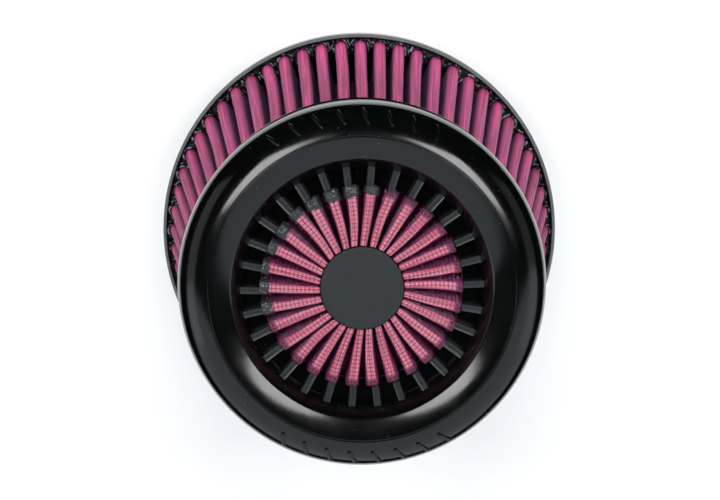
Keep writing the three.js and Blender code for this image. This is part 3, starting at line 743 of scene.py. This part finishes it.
skin_points, skin_faces = [], []
for i in range(FRONT_PLEATS):
    turn = (FRONT_TURN + 2 * math.pi * i / FRONT_PLEATS) % (2 * math.pi)
    if not LEAK_ENDS[0] < turn < LEAK_ENDS[1]:
        continue
    reach = shuffle.uniform(2.2, 3.8) * MM
    ragged = [shuffle.uniform(-0.5, 0.5) * MM for _ in range(5)]
    half = FRONT_CREST_HALF[0]
    first = len(skin_points)
    upper, under = [], []
    for row in range(LEAK_ROWS):
        for c in range(LEAK_COLUMNS):
            side = 2 * c / (LEAK_COLUMNS - 1) - 1
            edge = ragged[min(4, int((side + 1) * 2.5))]
            along = (reach + edge) * row / (LEAK_ROWS - 1) - 0.5 * MM
            share = along / (FRONT_OUTER - FRONT_INNER)
            across = side * (half + LEAK_WING)
            # the wings droop, and lumps about 0.7 mm and 0.3 mm across stand on the skin
            drop = max(0, abs(across) - half + 0.5 * MM) ** 1.5 * 30
            lump = noise.noise(Vector((i * 7.1, across * 1400, along * 1400))) * 0.28 * MM
            lump += noise.noise(Vector((i * 3.7, across * 3200, along * 3200))) * 0.12 * MM
            fade = min(1, (1 - row / (LEAK_ROWS - 1)) * 3, (1 - abs(side)) * 6 + 0.25)
            lift = LEAK_THICK * fade + lump * fade + 0.02 * MM
            upper.append(front_point(i, share, across, drop, -lift))
            under.append(front_point(i, share, across, drop, LEAK_UNDER))
    skin_points += upper + under
    size = len(upper)
    top_faces = ring_faces(LEAK_ROWS, LEAK_COLUMNS, False, False, first)
    skin_faces += [f[::-1] for f in top_faces]
    skin_faces += [tuple(v + size for v in f) for f in top_faces]
    border = [*range(LEAK_COLUMNS), *range(2 * LEAK_COLUMNS - 1, size, LEAK_COLUMNS),
              *range(size - 2, size - LEAK_COLUMNS - 1, -1),
              *range(size - 2 * LEAK_COLUMNS, 0, -LEAK_COLUMNS)]
    for a, b in zip(border, border[1:] + border[:1]):
        skin_faces.append((first + a, first + b, first + b + size, first + a + size))
# its grey, lighter than the rim's rubber, is a painted sheen for the glints on its lumps
leak_rubber = moulded_rubber("leaked_polyurethane_skin", "24282b", 0.2, 1.0)
add_piece("leaked_skin", skin_points, skin_faces, leak_rubber, 80)

# ---- Wire over the front pleats ----
# Square woven aluminium wire, 18 wires to the inch, dipped in epoxy and folded with the cotton.
# One set of wires crosses the folds and the other runs along them.

WIRE_RADIUS = 0.145 * MM
WIRE_SINK = 0.14 * MM
WIRE_SIDES = 4
WIRE_RINGS = int((FRONT_OUTER - FRONT_INNER) / WIRE_PITCH)
WIRES_ALONG = 26
RING_POINTS = FRONT_PLEATS * 26

wire_points, wire_faces = [], []


def add_wire(line, closed):
    """Adds the points and faces of a thin wire along a line to the wires so far."""
    line = np.array(line)
    ahead = np.roll(line, -1, 0) - np.roll(line, 1, 0) if closed else np.gradient(line, axis=0)
    ahead /= np.linalg.norm(ahead, axis=1)[:, None]
    side = np.cross(ahead, (0.13, 0.29, 0.95))
    side /= np.linalg.norm(side, axis=1)[:, None]
    up = np.cross(side, ahead)
    turns = [2 * math.pi * k / WIRE_SIDES for k in range(WIRE_SIDES)]
    rings = [line + WIRE_RADIUS * (math.cos(turn) * side + math.sin(turn) * up) for turn in turns]
    first = len(wire_points)
    wire_points.extend(np.stack(rings, 1).reshape(-1, 3))
    wire_faces.extend(ring_faces(len(line), WIRE_SIDES, wrap_rows=closed, first=first))
    if not closed:
        wire_faces.append(tuple(range(first, first + WIRE_SIDES)))
        wire_faces.append(tuple(range(len(wire_points) - WIRE_SIDES, len(wire_points)))[::-1])


def wire_line(i, share):
    """The wire's line across one pleat."""
    return [front_point(i, share, x, depth, WIRE_SINK)
            for x, depth in front_section(share, WIRE_SINK, 2, 3)]


for ring in range(WIRE_RINGS):
    share = (ring + 0.5) * WIRE_PITCH / (FRONT_OUTER - FRONT_INNER)
    line = [p for i in range(FRONT_PLEATS) for p in wire_line(i, share)[:-1]]
    line = np.array(line + [line[0]])
    place = arc_lengths(line)
    wanted = np.linspace(0, place[-1], RING_POINTS + 1)[:-1]
    add_wire(np.stack([np.interp(wanted, place, line[:, k]) for k in range(3)], 1), True)
for i in range(FRONT_PLEATS):
    sections = [np.array(wire_line(i, s / WIRE_RINGS)) for s in range(WIRE_RINGS + 1)]
    for w in range(WIRES_ALONG):
        # wires keep their real spacing from the crest's middle, and run out where the fold narrows
        offset = (w - WIRES_ALONG / 2 + 0.5) * WIRE_PITCH / MM
        line = []
        for section in sections:
            place = arc_lengths(section)
            at = place[len(section) // 2] + offset
            if 0 <= at <= place[-1]:
                line.append([np.interp(at, place, section[:, k]) for k in range(3)])
        if len(line) > 2:
            add_wire(line, False)

# Epoxy over drawn aluminium, stained by the dyed oil: dark, wet and shiny.
wire_epoxy, tree, shader = new_material("oil_stained_epoxy_wire", {
    "Roughness": 0.3, "Metallic": 0.0, "IOR": 1.55, "Coat Weight": 0.6, "Coat Roughness": 0.12})
place = (add_node(tree, "TexCoord"), "Object")
stain = add_node(tree, "TexNoise", {"Scale": 1 / (2.2 * MM), "Detail": 3.0}, {"Vector": place})
share = add_node(tree, "MapRange", {"From Min": 0.35, "From Max": 0.65}, {"Value": stain})
tint = add_node(tree, "Mix", {"data_type": "RGBA", "A": linear("5c1a4e"), "B": linear("8a2a5c")},
                {"Factor": share})
connect(tree, shader, {"Base Color": tint})
add_piece("front_wire", wire_points, wire_faces, wire_epoxy, 180, "front_face_mesh",
          slot="coated_wire")

# ---- Centre cap ----
# A plug of softer, duller rubber, poured into a ring mould so that it holds the inner ends of the
# front pleats. Its face is almost flat.

(_, _, CAP_BACK), (CAP_FLANGE, _, CAP_TOP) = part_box("centre_cap")
CAP_RADIUS = 14.1 * MM
FLANGE_TOP = CAP_BACK + 2 * MM
CAP_MIDDLE = 0.05 * MM
cap_outline = rounded_outline([
    (CAP_FLANGE, CAP_BACK, 0.5),
    (CAP_FLANGE, FLANGE_TOP, 0.5),
    (CAP_RADIUS - 0.1 * MM, FLANGE_TOP, 0),
    (CAP_RADIUS, CAP_TOP, 0.45),
    (CAP_RADIUS - 1.2 * MM, CAP_TOP - 0.02 * MM, 0),
    (6 * MM, CAP_TOP - 0.12 * MM, 0),
    (CAP_MIDDLE, CAP_TOP - 0.14 * MM, 0),
    (CAP_MIDDLE, CAP_BACK, 0),
])
cap_rubber = moulded_rubber("dull_grey_polyurethane", "111518", 0.5, 0.25)
add_piece("front_cap", *turned(cap_outline, 160), cap_rubber, 50, "centre_cap", slot="cap_rubber")

# ---- Inside wire ----
# Bare aluminium wire of the same weave stiffens both packs from the clean side: bright drawn wire,
# 0.35 mm thick and 1.41 mm apart, with dyed cotton in shadow behind its holes.

INNER_GAP = 0.12 * MM
INNER_WIRE = 0.35 * MM
BACK_GAP = FACE_GAP + FRONT_COTTON + 0.08 * MM
BACK_WIRE = 0.2 * MM

bare_wire, tree, shader = new_material("bare_woven_wire", {"Roughness": 0.38})
fold = add_node(tree, "UVMap", {"uv_map": "fold"})
parts = add_node(tree, "SeparateXYZ", {}, {"Vector": fold})
crown = add_node(tree, "Math", {"operation": "MINIMUM"}, wire_waves(tree, parts, "SINE"))
wire = add_node(tree, "MapRange", {"From Min": 0.42, "From Max": 0.34}, {"Value": crown})
tint = add_node(tree, "Mix", {"data_type": "RGBA", "A": linear("8c2a58"), "B": linear("c9cacc")},
                {"Factor": wire})
round_top = add_node(tree, "MapRange", {"From Min": 0.42, "From Max": 0.0}, {"Value": crown})
bump = add_node(tree, "Bump", {"Strength": 0.9, "Distance": 0.17 * MM}, {"Height": round_top})
connect(tree, shader, {"Base Color": tint, "Metallic": wire, "Normal": bump})
folded_sheet("side_wire", side_face(COTTON + INNER_GAP), side_face(COTTON + INNER_GAP + INNER_WIRE),
             SIDE_PLEATS, height_mm, bare_wire, "plain_wire", "side_inner_mesh")
folded_sheet("front_back_wire", front_face(BACK_GAP), front_face(BACK_GAP + BACK_WIRE),
             FRONT_PLEATS, radius_mm, bare_wire, "plain_wire", "front_back_mesh")

# ---- Seam strips ----
# Each folded sheet is closed into a ring by a strip of zinc-plated steel, pressed over its two
# edges: a satin grey metal with fine rolling lines.


def rolled_steel(name, colour, roughness, grain_mm, stretch):
    """Cold-rolled strip: a bright satin metal with fine lines along its length."""
    material, tree, shader = new_material(name, {"Base Color": linear(colour), "Metallic": 1.0})
    place = (add_node(tree, "TexCoord"), "Object")
    drawn_out = add_node(tree, "Mapping", {"Scale": stretch}, {"Vector": place})
    lines = add_node(tree, "TexNoise", {"Scale": 1 / (grain_mm * MM), "Detail": 4.0},
                     {"Vector": drawn_out})
    rough = add_node(tree, "MapRange", {"From Min": 0.3, "From Max": 0.7,
                                        "To Min": roughness - 0.08, "To Max": roughness + 0.1},
                     {"Value": lines})
    bump = add_node(tree, "Bump", {"Strength": 0.12, "Distance": 0.01 * MM}, {"Height": lines})
    connect(tree, shader, {"Roughness": rough, "Normal": bump})
    return material


def dress(node, material):
    """Gives a CAD node its finish."""
    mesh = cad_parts[node].data
    mesh.materials.clear()
    mesh.materials.append(material)


zinc = rolled_steel("zinc_plated_steel", "c2c4bf", 0.34, 0.4, (0.05, 1, 1))
for node in ("side_seam_strip", "front_seam_strip"):
    dress(node, zinc)

# ---- Hose clamp ----
# A strip of rolled stainless steel round the neck, with its edges turned up a little so that they
# don't cut the rubber. A worm screw that bites in the slots of its tail draws it tight.

BAND_INNER, BAND_OUTER = 42.4 * MM, 43.2 * MM
BAND_EDGE = 1.2 * MM
BAND_WAIST = BAND_OUTER - 0.12 * MM
BAND_LOW, BAND_HIGH = [corner.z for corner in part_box("clamp_band")]
stainless = rolled_steel("rolled_stainless", "c9cbce", 0.26, 0.3, (0.02, 0.02, 1))
band_outline = rounded_outline([
    (BAND_INNER, BAND_LOW, 0.25),
    (BAND_OUTER, BAND_LOW, 0.25),
    (BAND_WAIST, BAND_LOW + BAND_EDGE, 0.3),
    (BAND_WAIST, BAND_HIGH - BAND_EDGE, 0.3),
    (BAND_OUTER, BAND_HIGH, 0.25),
    (BAND_INNER, BAND_HIGH, 0.25),
])
add_piece("band_strip", *turned(band_outline), stainless, 50, "clamp_band", "clamp", "stainless")
for node in ("clamp_tail", "clamp_saddle", "clamp_housing"):
    dress(node, stainless)

# ---- Worm screw ----
# A zinc-plated steel worm that turns in the housing. Its thread bites in the slots of the tail, and
# its head is a hexagon with a slot across it.

SCREW_AXIS = Vector((0, -49.3 * MM, 14.6 * MM))
THREAD_RADIUS = 3.9 * MM
THREAD_DEPTH = 0.9 * MM
THREAD_PITCH = 3.175 * MM
THREAD_LENGTH = 13 * MM
THREAD_ROWS = int(THREAD_LENGTH / THREAD_PITCH * 20)
HEAD_RADIUS = 4.4 * MM
HEAD_FROM = 7.3 * MM
HEAD_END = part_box("clamp_screw")[1].x
SLOT_FLOOR = HEAD_END - 1.3 * MM
SLOT_HALF = 0.6 * MM
SCREW_SIDES = 48


def regular(radius, sides):
    """The corners of a regular outline round the screw's axis."""
    return [(radius * math.cos(2 * math.pi * i / sides), radius * math.sin(2 * math.pi * i / sides))
            for i in range(sides)]


def thread_radius(along, turn):
    """The worm's radius at a place along it, with flat crests and roots."""
    wave = 0.5 + 0.5 * math.cos((along / THREAD_PITCH + turn) * 2 * math.pi)
    steep = min(1, max(0, (wave - 0.25) / 0.5))
    return THREAD_RADIUS - THREAD_DEPTH * (1 - steep)


screw_points = []
for i in range(THREAD_ROWS + 1):
    along = THREAD_LENGTH * (i / THREAD_ROWS - 0.5)
    for j in range(SCREW_SIDES):
        radius = thread_radius(along, j / SCREW_SIDES) * (0.9 if i in (0, THREAD_ROWS) else 1)
        angle = j / SCREW_SIDES * 2 * math.pi
        screw_points.append(SCREW_AXIS + Vector((along, -radius * math.cos(angle),
                                                 radius * math.sin(angle))))
screw_faces = [f[::-1] for f in ring_faces(THREAD_ROWS + 1, SCREW_SIDES, wrap_rows=False)]
screw_faces += [tuple(range(SCREW_SIDES)),
                tuple(range(THREAD_ROWS * SCREW_SIDES, len(screw_points)))[::-1]]
hexagon = regular(HEAD_RADIUS, 6)
# each side of the slot is a part of the hexagon above or below it
slot_reach = HEAD_RADIUS - SLOT_HALF / math.tan(math.pi / 3)
upper = [(slot_reach, SLOT_HALF), hexagon[1], hexagon[2], (-slot_reach, SLOT_HALF)]
lower = [(-x, -y) for x, y in upper]
for outline, start, end in (
        (regular(THREAD_RADIUS - THREAD_DEPTH, 32), THREAD_LENGTH / 2 - 0.3 * MM, HEAD_FROM),
        (hexagon, HEAD_FROM, SLOT_FLOOR),
        (upper, SLOT_FLOOR, HEAD_END), (lower, SLOT_FLOOR, HEAD_END)):
    first, count = len(screw_points), len(outline)
    screw_points += [SCREW_AXIS + Vector((along, a, b)) for along in (start, end)
                     for a, b in outline]
    screw_faces += [f[::-1] for f in ring_faces(2, count, wrap_rows=False, first=first)]
    screw_faces += [tuple(range(first, first + count))[::-1],
                    tuple(range(first + count, first + 2 * count))]
add_piece("worm_screw", screw_points, screw_faces, zinc, 35, "clamp_screw", "screw", "zinc_steel")

# ---- Studio ----
# A pale painted floor, and two soft boxes, two dim side panels and a large dim white sheet along
# the -Y side, which the black rubber mirrors. Two fills that don't show in shiny surfaces light
# the pleats and the floor.

FRONT_CENTRE = Vector((0, 0, RIM_TOP))
CAMERA_TILT = math.radians(8.89)
CAMERA_ROLL = math.radians(2.78)
CAMERA_ROUND = math.radians(3)
CAMERA_AIM = Vector((0.76, -13.49, -850)) * MM
LENS_MM = 127.1
SENSOR_MM = 36
SHEET_SIZE = (10, 1.9)
SHEET_TINT = (0.9, 0.98, 1.08)
OVERHEAD_SIZE = 3.0

# turns a direction in the camera's own axes (right, up, back) into the filter's
look = (Matrix.Rotation(CAMERA_ROLL, 3, "Z") @ Matrix.Rotation(CAMERA_TILT, 3, "X")
        @ Matrix.Rotation(-CAMERA_ROUND, 3, "Z")).transposed()
camera_data = bpy.data.cameras.new("camera")
camera_data.lens = LENS_MM
camera_data.sensor_width = SENSOR_MM
camera_data.clip_start = 0.05
camera_data.clip_end = 100
camera = bpy.data.objects.new("camera", camera_data)
camera.matrix_world = Matrix.Translation(FRONT_CENTRE - look @ CAMERA_AIM) @ look.to_4x4()
bpy.context.scene.collection.objects.link(camera)
bpy.context.scene.camera = camera


def area_light(name, width, height, radiance, place, mirrored=True):
    """A rectangular light of a stated radiance, which the camera doesn't see."""
    data = bpy.data.lights.new(name, "AREA")
    data.shape = "RECTANGLE"
    data.size, data.size_y = width, height
    data.energy = radiance * math.pi * width * height
    light = bpy.data.objects.new(name, data)
    light.matrix_world = place
    light.visible_camera = False
    light.visible_glossy = mirrored
    bpy.context.scene.collection.objects.link(light)
    return light


def facing_rim(around_degrees, off_degrees, distance):
    """A place that faces the rim, given by its angle round the view axis and off it."""
    around, off = math.radians(around_degrees), math.radians(off_degrees)
    radial = look @ Vector((math.cos(around), math.sin(around), 0))
    back = look @ Vector((math.sin(off) * math.cos(around), math.sin(off) * math.sin(around),
                          math.cos(off)))
    up = (radial - back * radial.dot(back)).normalized()
    turn = Matrix((up.cross(back), up, back)).transposed().to_4x4()
    return Matrix.Translation(FRONT_CENTRE + back * distance) @ turn


area_light("soft_box_right", 0.32, 0.34, 9.5, facing_rim(20, 25, 0.9))
area_light("soft_box_left", 0.32, 0.34, 9.5, facing_rim(158, 24, 0.9))
area_light("side_fill", 0.6, 0.5, 6.0, facing_rim(90, 62, 0.9), mirrored=False)
area_light("side_glow_left", 1.4, 0.6, 0.55, facing_rim(180, 78, 1.2))
area_light("side_glow_right", 1.4, 0.6, 0.3, facing_rim(0, 78, 1.2))
sheet_place = (Matrix.Rotation(CAMERA_ROUND, 4, "Z")
               @ Matrix.Translation((0, -0.5, SHEET_SIZE[1] / 2))
               @ Matrix.Rotation(math.radians(90), 4, "X"))
area_light("white_sheet", *SHEET_SIZE, 0.9, sheet_place).data.color = SHEET_TINT
area_light("overhead_fill", OVERHEAD_SIZE, OVERHEAD_SIZE, 0.95, Matrix.Translation((0, 0, 2.2)),
           mirrored=False)

world = bpy.data.worlds.new("studio")
bpy.context.scene.world = world
world.use_nodes = True
world.node_tree.nodes["Background"].inputs["Color"].default_value = (1, 1, 1, 1)
world.node_tree.nodes["Background"].inputs["Strength"].default_value = 0.9
world.cycles_visibility.glossy = False
world.cycles_visibility.diffuse = False


def painted_floor(name, glow):
    """Matt white painted board, with a very faint roller texture. It can't be seen from below. Far
    off it is lit by the room as well, which a glow stands for."""
    material, tree, shader = new_material(name, {
        "Base Color": linear("f4f4f4"), "Roughness": 0.9, "Emission Color": (1, 1, 1, 1),
        "Emission Strength": glow})
    place = (add_node(tree, "TexCoord"), "Object")
    roller = add_node(tree, "TexNoise", {"Scale": 1 / (4 * MM), "Detail": 2.0}, {"Vector": place})
    bump = add_node(tree, "Bump", {"Strength": 0.05, "Distance": 0.05 * MM}, {"Height": roller})
    side = add_node(tree, "NewGeometry")
    clear = add_node(tree, "BsdfTransparent")
    either = add_node(tree, "MixShader", {}, {0: (side, "Backfacing"), 1: shader, 2: clear})
    connect(tree, shader, {"Normal": bump})
    connect(tree, tree.nodes["Material Output"], {"Surface": either})
    return material


def floor_ring(name, inner, outer, paint, mirrored):
    """A flat ring of floor, or a disc. Only a mirrored one shows in shiny surfaces."""
    steps = 96
    turns = [2 * math.pi * i / steps for i in range(steps)]
    points = [(radius * math.cos(turn), radius * math.sin(turn), 0)
              for radius in ((inner, outer) if inner else (outer,)) for turn in turns]
    faces = ring_faces(2, steps, wrap_rows=False) if inner else [tuple(range(steps))]
    mesh = bpy.data.meshes.new(name)
    mesh.from_pydata(points, [], faces)
    mesh.materials.append(paint)
    ring = bpy.data.objects.new(name, mesh)
    bpy.context.scene.collection.objects.link(ring)
    ring.visible_glossy = mirrored
    ring.visible_diffuse = mirrored


NEAR_FLOOR, FAR_FLOOR = 0.24, 12
floor_ring("floor_near", 0, NEAR_FLOOR, painted_floor("matt_white_paint", 0.05), True)
floor_ring("floor_far", NEAR_FLOOR, FAR_FLOOR, painted_floor("matt_white_paint_far_off", 0.7),
           False)

bpy.context.scene.view_settings.view_transform = "Standard"
